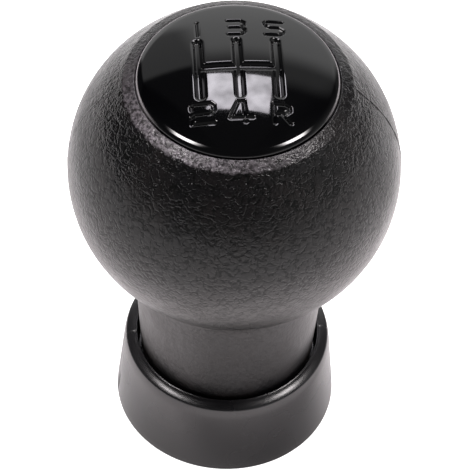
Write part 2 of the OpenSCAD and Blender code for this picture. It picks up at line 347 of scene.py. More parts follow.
def grained_skin(name, sizes):
    """Soft PVC moulded with a leather grain: small irregular cells parted by thin creases with
    painted shade, steeper and shinier near the cap, softer on the neck, and a dull band round
    the cap, painted lighter in patches towards the left-front: dust and painted sheen."""
    material, tree, shader, where = new_material(name, IOR=1.52)
    x, y, z = apart(tree, where)
    radius = math_node(tree, "ADD", vector_node(tree, "LENGTH", vector(tree, x, y)),
                       product(tree, noise(tree, where, 0.0011, 3.0), 0.9*MM))
    band = product(tree, spread(tree, radius, 1.0, 0.0, (FRAME_R + 0.15)*MM, (FRAME_R + 0.55)*MM),
                   spread(tree, z, 0.0, 1.0, 0.072, 0.0725))
    uneven = math_node(tree, "MULTIPLY_ADD", noise(tree, where, 0.0024, 3.0), 0.008, z)
    neck = eased(tree, uneven, 1.0, 0.0, 0.031, 0.043)
    crown = eased(tree, z, 0.0, 1.0, 0.0665, 0.0715)
    # Band and neck have less grain, the crown has more
    calm = math_node(tree, "MAXIMUM", product(tree, band, 0.55), neck)
    weight = product(tree, spread(tree, calm, 1.0, 0.5), spread(tree, crown, 1.0, 1.6))

    coarse = leather_grain(tree, where, sizes.grain)
    upright = vector_node(tree, "MULTIPLY", where, (1.0, 1.0, 0.35))
    wrinkles = product(tree, noise(tree, upright, 0.0012, 3.0, 0.6), product(tree, neck, 3.2))
    swell = math_node(tree, "ADD", noise(tree, where, 0.0021), wrinkles)
    height = math_node(tree, "MULTIPLY_ADD", swell, 0.9, product(tree, coarse, 0.55))
    pores = product(tree, noise(tree, where, 0.00027), spread(tree, crown, 0.14, 0.4))
    height = math_node(tree, "MULTIPLY_ADD", height, weight, pores)

    cloud = noise(tree, where, 0.008, 4.0)
    # Painted shade: the creases are painted darker and given less specular, less so on band and
    # neck
    crease = product(tree, spread(tree, coarse, 1.0, 0.0, 0.1, 0.8), spread(tree, calm, 1.0, 0.25))
    base = mix(tree, spread(tree, cloud, 0.0, 1.0, 0.4, 0.62), tuple(sizes.plastic),
               srgb("#120E0E"))
    base = mix(tree, crease, base, srgb("#050505"))
    # Dust and painted sheen: the band is painted lighter in patches, most towards the left-front
    # side
    dust_and_sheen = spread(tree, noise(tree, where, 0.0006, 4.0, 0.6), 0.15, 1.2, 0.40, 0.62)
    left = math_node(tree, "MULTIPLY_ADD", x, -0.64, product(tree, y, -0.77))
    left = math_node(tree, "POWER", spread(tree, left, 0.0, 1.0, -0.005, 0.020), 2.2)
    base = mix(tree, product(tree, band, product(tree, dust_and_sheen, left)), base, tuple(sizes.band))
    rub = spread(tree, cloud, 0.27, 0.35, 0.35, 0.65)
    rub = math_node(tree, "MULTIPLY_ADD", crown, -0.10, rub)
    rub = math_node(tree, "MULTIPLY_ADD", calm, 0.08, rub)
    shaded(tree, shader, sizes.grain_depth, height, base, rub,
           **{"Specular IOR Level": spread(tree, crease, 0.39, 0.24)})
    return material


def satin_plastic(name, tint, grain=0.00035, depth=0.000003, low=0.23, high=0.29):
    """Moulded plastic from a fine-eroded mould: an even satin with soft, wide highlights and a
    trace of colour drift from handling."""
    material, tree, shader, where = new_material(name, IOR=1.52)
    drift = noise(tree, where, 0.011)
    tone = mix(tree, eased(tree, drift, 0.0, 0.4, 0.25, 0.75), tint, srgb("#262427"))
    shaded(tree, shader, depth, noise(tree, where, grain, 3.0), tone,
           eased(tree, drift, low, high, 0.3, 0.7))
    return material


def turned_brass(name, tint):
    """Free-cutting brass from the lathe: fine rings from the tool, a warm shine and slightly
    browner patches where it has begun to tarnish."""
    material, tree, shader, where = new_material(name, Metallic=1.0)
    x, y, z = apart(tree, where)
    # Tool marks 0.12 mm apart; the real ones are finer, but these still show in a render
    rings = math_node(tree, "ADD", vector_node(tree, "LENGTH", vector(tree, x, y)), z)
    rings = math_node(tree, "SINE", product(tree, rings, 2*math.pi/0.00012))
    stain = noise(tree, where, 0.003, 4.0)
    tone = mix(tree, spread(tree, stain, 0.0, 0.6, 0.45, 0.75), tint, srgb("#8C6A35"))
    shaded(tree, shader, 0.000003, rings, tone, spread(tree, stain, 0.2, 0.42, 0.35, 0.7))
    return material


def spring_steel(name):
    """Blackened spring steel, stamped and tumbled: dark grey, with a dull oily sheen and
    brighter rubbed spots."""
    material, tree, shader, where = new_material(name, Metallic=1.0)
    patch = noise(tree, where, 0.0012, 4.0)
    tone = mix(tree, spread(tree, patch, 0.0, 1.0, 0.4, 0.7), srgb("#3A3A3E"), srgb("#77767A"))
    shaded(tree, shader, 0.000006, noise(tree, where, 0.00015), tone,
           spread(tree, patch, 0.45, 0.3, 0.4, 0.7))
    return material


def foam_tape(name):
    """White acrylic foam tape, pressed flat: matt, with the pin-prick cells of the foam."""
    material, tree, shader, where = new_material(name, IOR=1.46)
    bubbles = cells(tree, where, 0.00025, 0.35)
    # Painted shade: the pits between the cells are painted darker than the cells
    shaded(tree, shader, 0.00004, bubbles, mix(tree, bubbles, srgb("#BDBBB2"), srgb("#E2E1DA")),
           spread(tree, bubbles, 0.9, 0.75))
    return material


def new_piece(name, points, faces, material, sharp=None):
    """Smooth-shaded object at the origin from points in millimetres."""
    mesh = bpy.data.meshes.new(name)
    mesh.from_pydata((np.asarray(points)*MM).tolist(), [], faces)
    mesh.validate()
    mesh.shade_smooth()
    if sharp is not None:
        mesh.set_sharp_from_angle(angle=math.radians(sharp))
    mesh.materials.append(material)
    piece = bpy.data.objects.new(name, mesh)
    bpy.context.scene.collection.objects.link(piece)
    return piece


def settle(piece, slot, *nodes):
    """Lets a finished piece ride on the knob and hides the nodes it replaces;
    the slot is not used.
    """
    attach(piece, "root")
    if nodes:
        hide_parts(*nodes)


def arc(centre, radius, start, end, steps=8):
    """Points of an arc in the plane of radius and height, angles in degrees."""
    turn = np.radians(np.linspace(start, end, steps + 1))
    return [(centre[0] + radius*math.cos(a), centre[1] + radius*math.sin(a)) for a in turn]


def blend(first, corner, last, steps=8):
    """Curve that leaves one point and reaches another along the lines to a corner."""
    t = np.linspace(0, 1, steps + 1)[:, None]
    curve = (1 - t)**2*np.array(first) + 2*t*(1 - t)*np.array(corner) + t**2*np.array(last)
    return [tuple(p) for p in curve]


def filled(points, longest):
    """Outline with its long straight runs cut into shorter ones, closed end included."""
    out = []
    for here, there in zip(points, points[1:] + points[:1]):
        parts = max(1, math.ceil(math.dist(here, there)/longest - 1e-6))
        out += [(here[0] + (there[0] - here[0])*i/parts, here[1] + (there[1] - here[1])*i/parts)
                for i in range(parts)]
    return out


def softened(before, corner, after, back, steps=4):
    """Corner of an outline, rounded from a setback on either side."""
    def toward(target):
        reach = math.dist(corner, target)
        return (corner[0] + (target[0] - corner[0])*back/reach,
                corner[1] + (target[1] - corner[1])*back/reach)
    return blend(toward(before), corner, toward(after), steps)


def rounded(points, corners):
    """Outline along points whose inner corners are rounded; each has a setback and its steps."""
    out = []
    for i, (back, steps) in enumerate(corners):
        out += softened(*points[i:i + 3], back, steps)
    return out


def turned(outline, angles, offset=None):
    """Solid of revolution of a closed outline; offset moves a point outwards by its place."""
    profile = np.array(outline)
    count, steps = len(profile), len(angles)
    r = np.repeat(profile[:, 0][None, :], steps, 0)
    z = np.repeat(profile[:, 1][None, :], steps, 0)
    a = np.repeat(np.asarray(angles)[:, None], count, 1)
    if offset is not None:
        r = r + offset(a, r, z)
    points = np.stack([r*np.cos(a), r*np.sin(a), z], -1).reshape(-1, 3)
    faces = []
    for i in range(steps):
        j = (i + 1) % steps
        for k in range(count):
            m = (k + 1) % count
            faces.append((i*count + k, j*count + k, j*count + m, i*count + m))
    return points, faces


def ring_angles(count, marks=(), close=()):
    """Evenly spread angles with extra ones close to each mark, all in radians."""
    even = np.arange(count)*2*math.pi/count
    extra = [m + c for m in marks for c in close]
    both = np.sort(np.mod(np.concatenate([even, extra]), 2*math.pi))
    keep = np.append(True, np.diff(both) > 2e-4)
    return both[keep]


def turn_from(a, mark):
    """Signed angle from a mark, between minus and plus half a turn."""
    return np.mod(a - mark + math.pi, 2*math.pi) - math.pi


def capsule(x, y, ends):
    """Distance from points to a run of straight strokes."""
    best = np.full(x.shape, 1e9)
    for (ax, ay), (bx, by) in zip(ends, ends[1:]):
        dx, dy = bx - ax, by - ay
        t = np.clip(((x - ax)*dx + (y - ay)*dy)/(dx*dx + dy*dy), 0, 1)
        best = np.minimum(best, np.hypot(x - ax - t*dx, y - ay - t*dy))
    return best


# Strokes of the numbers, in millimetres from the cap's centre
DIGITS = {
    "1": [[(-5.8, 7.5), (-5.8, 10.6)]],
    "3": [[(-1.12, 10.7), (0.85, 10.7), (1.42, 10.25), (1.42, 9.55), (1.0, 9.05), (1.42, 8.55),
           (1.42, 7.85), (0.85, 7.38), (-1.12, 7.38)],
          [(-0.9, 9.05), (1.0, 9.05)]],
    "5": [[(7.25, 10.5), (4.85, 10.5), (4.53, 10.2), (4.75, 9.4), (5.2, 9.1), (6.7, 9.05),
           (7.32, 8.5), (7.32, 7.95), (6.75, 7.38), (4.53, 7.38)]],
    "2": [[(-7.46, -7.35), (-7.46, -6.8), (-7.05, -6.4), (-4.6, -6.4), (-4.14, -6.85),
           (-4.14, -7.6), (-4.6, -8.1), (-6.9, -8.2), (-7.44, -8.6), (-7.44, -9.8),
           (-4.14, -9.8)]],
    "4": [[(0.6, -9.85), (0.47, -6.3), (-0.45, -6.3), (-1.66, -9.12), (1.62, -9.12)]],
    "R": [[(4.94, -10.0), (4.94, -6.75), (6.7, -6.75), (7.3, -7.2), (7.3, -7.95), (6.7, -8.4),
           (4.94, -8.4)],
          [(6.05, -8.4), (7.35, -10.0)]],
}


def engraving(x, y, sizes):
    """Depth cut into the dome at a place of the cap, seen from above."""
    slot = sizes.gate_width/MM/2
    reach = GATE_L/2 - slot
    runs = [[(at, GATE_Y - reach), (at, GATE_Y + reach)] for at in (-GATE_PITCH, 0, GATE_PITCH)]
    runs.append([(-GATE_PITCH, GATE_Y), (GATE_PITCH, GATE_Y)])
    gate = np.minimum.reduce([capsule(x, y, run) for run in runs])
    marks = np.minimum.reduce([capsule(x, y, run) for runs in DIGITS.values() for run in runs])
    soft = sizes.edge_soft/MM
    t = np.maximum(0.27 + (slot - gate)/soft,
                   0.27 + (sizes.digit_width/MM/2 - marks)/(0.8*soft)).clip(0, 1)
    # The rim is rounded wider than the corner at the floor
    rim = 0.65
    return sizes.gate_depth/MM*np.where(t < rim, t*t/rim, 1 - (1 - t)**2/(1 - rim))


def dome(x, y):
    """Height of the dome at a place of the cap."""
    return CROWN_C + np.sqrt(CROWN_R**2 - x*x - y*y)


def edge_roll():
    """Edge of the cap: a wide curve that leaves the dome, then a tight one down to the rim."""
    wide, tight, bend = 3.5, 0.4, math.radians(34)
    start = ((CAP_R - tight*(1 - math.sin(bend)) - wide*math.sin(bend))
             / (1 - wide/CROWN_R))
    tilt = math.asin(start/CROWN_R)
    centre = ((CROWN_R - wide)*math.sin(tilt), CROWN_C + (CROWN_R - wide)*math.cos(tilt))
    turn = math.degrees(bend)
    curve = arc(centre, wide, 90 - math.degrees(tilt), 90 - turn, 6)
    centre = (centre[0] + (wide - tight)*math.sin(bend), centre[1] + (wide - tight)*math.cos(bend))
    return curve + arc(centre, tight, 90 - turn, 0, 9)[1:]


class KNOB_OT_cap(bpy.types.Operator):
    """Domed cap: engraved field, rolled edge, upright rim and hollow underside"""
    bl_idname = "knob.cap"
    bl_label = "Cap"

    def execute(self, context):
        sizes = context.scene.knob_cap
        xs, ys = (np.arange(low, high + FIELD_STEP/2, FIELD_STEP)
                  for low, high in zip(FIELD_LOW, FIELD_HIGH))
        nx, ny = len(xs), len(ys)
        gx, gy = np.meshgrid(xs, ys)
        points = [np.stack([gx, gy, dome(gx, gy) - engraving(gx, gy, sizes)], -1).reshape(-1, 3)]
        at = np.arange(nx*ny).reshape(ny, nx)
        quads = [np.stack([at[:-1, :-1], at[:-1, 1:], at[1:, 1:], at[1:, :-1]], -1)]
        border = np.concatenate([at[0, :-1], at[:-1, -1], at[-1, :0:-1], at[:0:-1, 0]])
        edge = points[0][border, :2]
        bearing = np.arctan2(edge[:, 1], edge[:, 0])
        rings = []
        roll = edge_roll()
        for t in np.linspace(0, 1, 19)[1:]:
            round_edge = np.stack([np.cos(bearing), np.sin(bearing)], -1)*roll[0][0]
            flat = edge*(1 - t) + round_edge*t
            rings.append(np.column_stack([flat, dome(flat[:, 0], flat[:, 1])
                                          - engraving(flat[:, 0], flat[:, 1], sizes)]))
        low_z = float(CAP_LOW[2])
        section = roll[1:] + rounded(
            [(CAP_R, RIM_Z), (CAP_R, low_z), (HOLLOW_R, low_z), (HOLLOW_R, HOLLOW_Z),
             (0, HOLLOW_Z)], [(0.15, 2), (0.15, 2), (0.3, 3)]) + [(8.0, HOLLOW_Z)]
        for r, z in section:
            rings.append(np.column_stack([np.cos(bearing)*r, np.sin(bearing)*r,
                                          np.full(len(bearing), z)]))
        last = border
        total = nx*ny
        for ring in rings:
            points.append(ring)
            now = total + np.arange(len(border))
            total += len(border)
            quads.append(np.stack([last, now, np.roll(now, -1), np.roll(last, -1)], -1))
            last = now
        faces = [tuple(q) for q in np.concatenate([q.reshape(-1, 4) for q in quads]).tolist()]
        points.append(np.array([[0, 0, HOLLOW_Z]]))
        faces += [(int(a), total, int(b)) for a, b in zip(last, np.roll(last, -1))]
        piece = new_piece("cap", np.concatenate(points), faces,
                          polished_plastic("Gloss ABS, polished", tuple(sizes.plastic)))
        settle(piece, "badge", "badge")
        return {"FINISHED"}


def neck_r(z):
    """Radius of the neck's skin at a height."""
    return NECK_FOOT_R + NECK_TAPER*(z - NECK_FOOT_Z)


def grip_outline(depth, neck_depth, start, top_r, steps):
    """Outline of neck and ball at a depth in the skin, from the neck's end to the top."""
    a, b = BALL_R - depth, BALL_RISE - depth
    n = neck_r(BALL_Z) - neck_depth
    p = (NECK_TAPER/a)**2 + 1/b**2
    q = n*NECK_TAPER/a**2
    u = (-q - math.sqrt(q*q - p*((n/a)**2 - 1)))/p
    z = BALL_Z + u
    from_a = math.asin(u/b) + NECK_BLEND/b
    to_a = math.acos(top_r/a)
    ball = [(a*math.cos(t), BALL_Z + b*math.sin(t)) for t in np.linspace(from_a, to_a, steps)]
    low = (neck_r(z - NECK_BLEND) - neck_depth, z - NECK_BLEND)
    return [(neck_r(start) - neck_depth, start)] + blend(low, (neck_r(z) - neck_depth, z),
                                                         ball[0], 10)[:-1] + ball


class KNOB_OT_skin(bpy.types.Operator):
    """Grained skin of ball and neck, with the band round the cap and the parting lines"""
    bl_idname = "knob.skin"
    bl_label = "Grip skin"

    def execute(self, context):
        sizes = context.scene.knob_skin
        # The ball stays a hair inside the solid's box
        outside = grip_outline(0.02, 0, NECK_LOW + EDGE_R, FRAME_R + FRAME_RUN, 64)
        inside = grip_outline(SKIN_T, NECK_SKIN_T, NECK_LOW, OPENING_R, 24)
        foot = arc((neck_r(NECK_LOW) - EDGE_R, NECK_LOW + EDGE_R), EDGE_R, -90, 0, 4)
        slope = 26
        lip = arc((OPENING_R + 0.2, RIM_Z - 0.2), 0.2, 90 - slope, 180, 6)
        frame_edge = softened(outside[-1], (FRAME_R, FRAME_Z), lip[0], 0.35, 5)
        before = outside[-2]
        outside[-1:] = softened(before, outside[-1], (FRAME_R, FRAME_Z), 0.4, 3)
        outline = filled(foot + outside[1:] + frame_edge + lip + inside[::-1], 0.9)
        lines = [sizes.parting_angle, sizes.parting_angle + math.pi]
        close = np.radians([-1.1, -0.8, -0.6, -0.45, -0.32, -0.2, -0.1, 0, 0.1, 0.2, 0.32, 0.45,
                            0.6, 0.8, 1.1])
        height = sizes.parting/MM

        def parting(a, r, z):
            """Fine flash with a shallow dip beside it, on the outer face only."""
            limit = BALL_R*np.sqrt(np.clip(1 - ((z - BALL_Z)/BALL_RISE)**2, 0, 1))
            outer = (z > 24) & (r > 14.2) & (r > limit - 1.2) & (z < FRAME_Z - 0.6)
            move = 0
            for line, strength in zip(lines, (1.0, 0.5)):
                arcs = turn_from(a, line)*r
                wave = 1 + 0.35*np.sin(z*1.9) + 0.2*np.sin(z*5.3 + 1)
                move = move + strength*wave*(np.exp(-(arcs/0.13)**2)
                                             - 0.9*np.exp(-((arcs + 0.27)/0.14)**2))
            return np.where(outer, np.minimum(height*move, SKIN_HIGH[0] - r), 0)

        points, faces = turned(outline, ring_angles(288, lines, close), parting)
        piece = new_piece("grip", points, faces, grained_skin("Soft PVC, leather grain", sizes))
        settle(piece, "grip_skin", "grip_skin")
        return {"FINISHED"}


def skirt_r(z):
    """Radius of the skirt's inner face at a height."""
    return COLLAR_R - SKIRT_T - SKIRT_SLOPE*z


def falling(point, tilt, runs, steps=6):
    """Curve that runs outwards and falls away; each run has a length and the tilt it ends at."""
    out = [point]
    for run, end in runs:
        for i in range(steps):
            lean = math.radians(tilt + (end - tilt)*(i + 0.5)/steps)
            here = out[-1]
            out.append((here[0] + run/steps*math.cos(lean), here[1] - run/steps*math.sin(lean)))
        tilt = end
    return out


def cut(piece, cutters):
    """Cuts boxes or wedges out of a piece and keeps the result as a plain mesh."""
    for cutter in cutters:
        step = piece.modifiers.new("cut", "BOOLEAN")
        step.operation = "DIFFERENCE"
        step.solver = "EXACT"
        step.object = cutter
    graph = bpy.context.evaluated_depsgraph_get()
    mesh = bpy.data.meshes.new_from_object(piece.evaluated_get(graph))
    piece.modifiers.clear()
    piece.data = mesh
    for cutter in cutters:
        bpy.data.objects.remove(cutter)


def wedge(name, outline, middle, span, material, steps=12):
    """Part of a turned solid, closed at both ends; angles in degrees."""
    angles = np.radians(np.linspace(middle - span/2, middle + span/2, steps + 1))
    points, faces = turned(outline, angles)
    count = len(outline)
    faces = faces[:steps*count]
    faces += [tuple(range(count))[::-1], tuple(range(steps*count, (steps + 1)*count))]
    return new_piece(name, points, faces, material)


def box_piece(name, low, high, material):
    """Plain block, used only to cut with."""
    points = [(x, y, z) for x in (low[0], high[0]) for y in (low[1], high[1])
              for z in (low[2], high[2])]
    faces = [(0, 1, 3, 2), (4, 6, 7, 5), (0, 4, 5, 1), (2, 3, 7, 6), (0, 2, 6, 4), (1, 5, 7, 3)]
    return new_piece(name, points, faces, material)


def node_tree(name, inputs):
    """Geometry node group with a geometry input and the named inputs for its sizes."""
    tree = bpy.data.node_groups.new(name, "GeometryNodeTree")
    tree.interface.new_socket("Geometry", in_out="INPUT", socket_type="NodeSocketGeometry")
    for label, kind in inputs.items():
        tree.interface.new_socket(label, in_out="INPUT", socket_type="NodeSocket" + kind)
    tree.interface.new_socket("Geometry", in_out="OUTPUT", socket_type="NodeSocketGeometry")
    return tree, tree.nodes.new("NodeGroupInput").outputs


def swept(tree, start, end, shape):
    """Closed bar of a shape along a straight line."""
    path = add(tree, "GeometryNodeCurvePrimitiveLine", None, {"Start": start, "End": end})
    return add(tree, "GeometryNodeCurveToMesh", None,
               {"Curve": path.outputs[0], "Profile Curve": shape, "Fill Caps": True}).outputs[0]


def copied(tree, places, bar, turns, material):
    """Puts a turned copy of a bar on each place, makes the copies real and ends the tree."""
    angle = vector(tree, z=product(tree, turns, 2*math.pi))
    copies = add(tree, "GeometryNodeInstanceOnPoints", None,
                 {"Points": places, "Instance": bar, "Rotation": angle})
    real = add(tree, "GeometryNodeRealizeInstances", None, {0: copies.outputs[0]})
    done = add(tree, "GeometryNodeSetMaterial", None,
               {"Geometry": real.outputs[0], "Material": material})
    add(tree, "NodeGroupOutput", None, {0: done.outputs[0]})


def grown(name, tree, values):
    """Plain mesh that a node tree makes from its inputs."""
    piece = bpy.data.objects.new(name, bpy.data.meshes.new(name))
    bpy.context.scene.collection.objects.link(piece)
    modifier = piece.modifiers.new("grow", "NODES")
    modifier.node_group = tree
    for item in tree.interface.items_tree:
        if item.in_out == "INPUT" and item.name in values:
            modifier[item.identifier] = values[item.name]
    graph = bpy.context.evaluated_depsgraph_get()
    mesh = bpy.data.meshes.new_from_object(piece.evaluated_get(graph))
    piece.modifiers.clear()
    piece.data = mesh
    mesh.name = name
    return piece


def rib_tree():
    """Ribs on a circle: a rounded bar swept from the hub to the skirt, then spread round."""
    tree, given = node_tree("Ribs round a hub", {
        "Count": "Int", "Inner": "Float", "Outer": "Float", "Height": "Float",
        "Width": "Float", "Low": "Float", "Corner": "Float", "Material": "Material"})
    middle = math_node(tree, "MULTIPLY_ADD", given["Height"], 0.5, given["Low"])
    shape = add(tree, "GeometryNodeCurvePrimitiveQuadrilateral", None,
                {"Width": given["Width"], "Height": given["Height"]})
    shape = add(tree, "GeometryNodeFilletCurve", {"mode": "POLY"},
                {"Curve": shape.outputs[0], "Count": 3, "Radius": given["Corner"]})
    rib = swept(tree, vector(tree, given["Inner"], z=middle),
                vector(tree, given["Outer"], z=middle), shape.outputs[0])
    places = add(tree, "GeometryNodePoints", None, {"Count": given["Count"]})
    number = add(tree, "GeometryNodeInputIndex")
    share = math_node(tree, "DIVIDE", math_node(tree, "ADD", number.outputs[0], 0.5),
                      given["Count"])
    copied(tree, places.outputs[0], rib, share, given["Material"])
    return tree


def knurl_tree():
    """Straight knurl: a three-sided tooth on each step of a circle, on each of the bands."""
    tree, given = node_tree("Knurl on bands", {
        "Teeth": "Int", "Bands": "Int", "Radius": "Float", "Tooth": "Float", "Length": "Float",
        "Low": "Float", "Step": "Float", "Material": "Material"})
    shape = add(tree, "GeometryNodeCurvePrimitiveCircle", None,
                {"Resolution": 4, "Radius": given["Tooth"]})
    top = math_node(tree, "ADD", given["Low"], given["Length"])
    tooth = swept(tree, vector(tree, given["Radius"], z=given["Low"]),
                  vector(tree, given["Radius"], z=top), shape.outputs[0])
    places = add(tree, "GeometryNodePoints", None,
                 {"Count": product(tree, given["Teeth"], given["Bands"])})
    share = math_node(tree, "DIVIDE", add(tree, "GeometryNodeInputIndex").outputs[0],
                      given["Teeth"])
    lift = product(tree, math_node(tree, "FLOOR", share), given["Step"])
    raised = add(tree, "GeometryNodeSetPosition", None,
                 {"Geometry": places.outputs[0], "Position": vector(tree, z=lift)})
    copied(tree, raised.outputs[0], tooth, share, given["Material"])
    return tree


class KNOB_OT_collar(bpy.types.Operator):
    """Collar with its parting marks, well, hub, keyways and latch pockets, and its ribs"""
    bl_idname = "knob.collar"
    bl_label = "Collar"

    def execute(self, context):
        sizes = context.scene.knob_collar
        satin = satin_plastic("Satin ABS, moulded", tuple(sizes.plastic))
        hub_out = HUB_R + HUB_T
        # A fine bead, then the round land, which turns over sharply and eases into the skirt
        shoulder = falling((WELL_R + LIP_R, COLLAR_H), 0,
                           [(0.14, 28), (0.14, 6), (0.4, 17), (0.9, 29), (0.42, 76),
                            (1.8, 84.7)])[:0:-1]
        lip = arc((WELL_R + LIP_R, COLLAR_H - LIP_R), LIP_R, 90, 180, 6)
        web_end, foot = (skirt_r(WEB_LOW), WEB_LOW), (skirt_r(0), 0)
        feet = rounded([web_end, foot, (COLLAR_R, 0), shoulder[0]], [(0.2, 2), (EDGE_R, 4)])
        # Down the well, round the hub and along the web to the skirt's inner face
        inside = rounded([(WELL_R, COLLAR_H), (WELL_R, WEB_Z), (HUB_R, WEB_Z), (HUB_R, HUB_Z),
                          (hub_out, HUB_Z), (hub_out, WEB_LOW), web_end, foot],
                         [(0.4, 3), (0.15, 2), (0.25, 3), (0.25, 3), (0.3, 3), (0.4, 3)])
        outline = filled(feet + shoulder + lip + inside, 1.6)
        marks = [0, math.pi]
        close = np.radians([-1.6, -1.0, -0.75, -0.55, -0.35, -0.18, 0, 0.18, 0.35, 0.55, 0.75,
                            1.0, 1.6])

        def parting(a, r, z):
            """Fine groove down the skirt at the parting line, and a nick at the left foot."""
            outer = (r > WELL_R + 0.02) & (r > skirt_r(z) + 0.6)
            move = 0
            for line in marks:
                arcs = turn_from(a, line)*r
                move = move - 0.05*np.exp(-(arcs/0.12)**2)
            nick = np.exp(-(turn_from(a, NICK_AT)*r/0.32)**4)*(np.abs(z - 2.1) < 1.4)
            return np.where(outer, move - 0.3*nick, 0)

        angles = ring_angles(240, marks + [NICK_AT], close)
        points, faces = turned(outline, angles, parting)
        # A thin line of flash crosses the land
        land = (points[:, 2] > COLLAR_H - 0.35) & (np.abs(points[:, 1]) < 0.5)
        points[land, 2] += 0.05*np.exp(-(points[land, 1]/0.09)**2)
        piece = new_piece("collar_body", points, faces, satin)
        cutters = []
        for sign in (-1, 1):
            reach = sorted((sign*9.0, sign*(STEM_R + KEY_REACH)))
            cutters.append(box_piece("keyway", (reach[0], -KEYWAY_W/2, WEB_LOW - 3),
                                     (reach[1], KEYWAY_W/2, WEB_Z + 1), satin))
        low, high = LATCH_Z - LATCH_CLEAR, LATCH_Z + LATCH_H + LATCH_CLEAR
        inner, outer = skirt_r(low) - 0.75, skirt_r(low) + 0.85
        for i in range(4):
            cutters.append(wedge("pocket", [(inner, low), (outer, low), (outer - 0.35, high),
                                            (inner, high)], 45 + 90*i, LATCH_SPAN, satin))
        cut(piece, cutters)
        piece.data.set_sharp_from_angle(angle=math.radians(40))
        settle(piece, "collar", "collar")

        ribs = grown("collar_ribs", rib_tree(), {
            "Count": sizes.ribs, "Inner": (HUB_R + HUB_T/2)*MM, "Outer": (skirt_r(HUB_Z) + 0.6)*MM,
            "Height": (WEB_LOW - HUB_Z + 0.8)*MM, "Width": sizes.rib_width, "Low": HUB_Z*MM,
            "Corner": 0.25*MM, "Material": satin})
        ribs.data.shade_smooth()
        ribs.data.set_sharp_from_angle(angle=math.radians(40))
        settle(ribs, "collar")
        return {"FINISHED"}


class KNOB_OT_insert(bpy.types.Operator):
    """Brass insert with the lever's real thread, grooves, flange and knurled bands"""
    bl_idname = "knob.insert"
    bl_label = "Threaded insert"

    def execute(self, context):
        sizes = context.scene.knob_insert
        brass = turned_brass("Brass, turned", tuple(sizes.metal))
        pitch, depth = sizes.pitch/MM, sizes.thread_depth/MM
        band_r = BAND_R - 0.28
        z = INSERT_Z + FLANGE_T
        outline = rounded([(BORE_R, INSERT_Z), (FLANGE_R, INSERT_Z), (FLANGE_R, z), (band_r, z)],
                          [(0.2, 3), (0.2, 3)])
        for i in range(3):
            outline += [(band_r, z), (band_r, z + BAND_L)]
            z += BAND_L
            if i < 2:
                outline += [(BAND_R - GROOVE_DEPTH, z), (BAND_R - GROOVE_DEPTH, z + GROOVE_W)]
                z += GROOVE_W
        outline[-1] = (band_r, INSERT_TOP - 0.2)
        outline += [(band_r - 0.2, INSERT_TOP)]
        bore = [(BORE_R, float(z)) for z in np.arange(INSERT_TOP, INSERT_Z - 1e-6, -pitch/12)]
        bore[-1] = (BORE_R, INSERT_Z)
        outline = filled(outline, 3.0)
        first = len(outline)
        outline += bore

        def thread(a, r, z):
            """Helix of the thread, opened by the bevel at both mouths."""
            phase = np.mod(z/pitch - a/(2*math.pi), 1.0)
            ramp = np.clip(1.25 - np.abs(phase - 0.5)*3.2, 0, 1)
            bevel = np.maximum(INSERT_Z + MOUTH_BEVEL - z, z - INSERT_TOP + MOUTH_BEVEL)
            move = np.maximum(depth*ramp, np.clip(bevel, 0, None))
            move[:, :first] = 0
            return np.minimum(move, MOUTH_BEVEL)

        points, faces = turned(outline, ring_angles(96), thread)
        piece = new_piece("insert", points, faces, brass, 38)
        settle(piece, "threaded_insert", "threaded_insert")

        knurl = grown("insert_knurl", knurl_tree(), {
            "Teeth": sizes.knurl, "Bands": 3, "Radius": (band_r - 0.07)*MM, "Tooth": 0.35*MM,
            "Length": (BAND_L - 0.3)*MM, "Low": (INSERT_Z + FLANGE_T + 0.15)*MM,
            "Step": (BAND_L + GROOVE_W)*MM, "Material": brass})
        settle(knurl, "threaded_insert")
        return {"FINISHED"}


class KNOB_OT_inner_parts(bpy.types.Operator):
    """Finishes of the core, the foam pad, the retaining ring and the boot ring"""
    bl_idname = "knob.inner_parts"
    bl_label = "Inner parts"

    def execute(self, context):
        tint = tuple(context.scene.knob_collar.inner)
        finishes = {
            "core": satin_plastic("Glass-filled nylon, moulded", tint, 0.0003, 0.00002, 0.5, 0.62),
            "boot_ring": satin_plastic("Nylon, moulded", tint, 0.0004, 0.00001, 0.42, 0.55),
            "snap_ring": spring_steel("Spring steel, blackened"),
            "badge_pad": foam_tape("Foam tape, pressed"),
        }
        for name, look in finishes.items():
            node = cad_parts[name]
            if not node.material_slots:
                node.data.materials.append(None)
            for slot in node.material_slots:
                slot.link = "OBJECT"
                slot.material = look
        return {"FINISHED"}


def placed(item, axes, place):
    """Puts an object in the scene with its own axes along three directions."""
    turn = Matrix(axes).transposed().to_4x4()
    item.matrix_world = Matrix.Translation(place) @ turn
    bpy.context.scene.collection.objects.link(item)


def softbox(name, low, high, width, radiance, tint, aim, core=1.0):
    """Rectangular area light a metre from a point; its two ends lie in the given directions and
    its power is worked out from its radiance. Beyond its core it fades out to the sides; one
    that is all core shows the folds of its cloth."""
    low, high = Vector(low).normalized(), Vector(high).normalized()
    height = (high - low).length
    lamp = bpy.data.lights.new(name, "AREA")
    lamp.shape = "RECTANGLE"
    lamp.size, lamp.size_y = width, height
    lamp.energy = radiance*math.pi*width*height
    lamp.color = srgb(tint)[:3]
    lamp.use_nodes = True
    tree = lamp.node_tree
    where = add(tree, "ShaderNodeTexCoord").outputs["Object"]
    if core < 1:
        away = math_node(tree, "ABSOLUTE", apart(tree, where)[0])
        glow = spread(tree, away, 1.0, 0.0, 0.5*core*width, 0.5*width, "SMOOTHERSTEP")
        glow = math_node(tree, "POWER", glow, 4.0)
    else:
        glow = spread(tree, noise(tree, where, 0.11), 0.7, 1.35, 0.35, 0.65)
    tree.links.new(glow, tree.nodes["Emission"].inputs["Strength"])
    way = ((low + high)/2).normalized()
    along = (high - low).normalized()
    placed(bpy.data.objects.new(name, lamp), (along.cross(way), along, way), Vector(aim) + way)


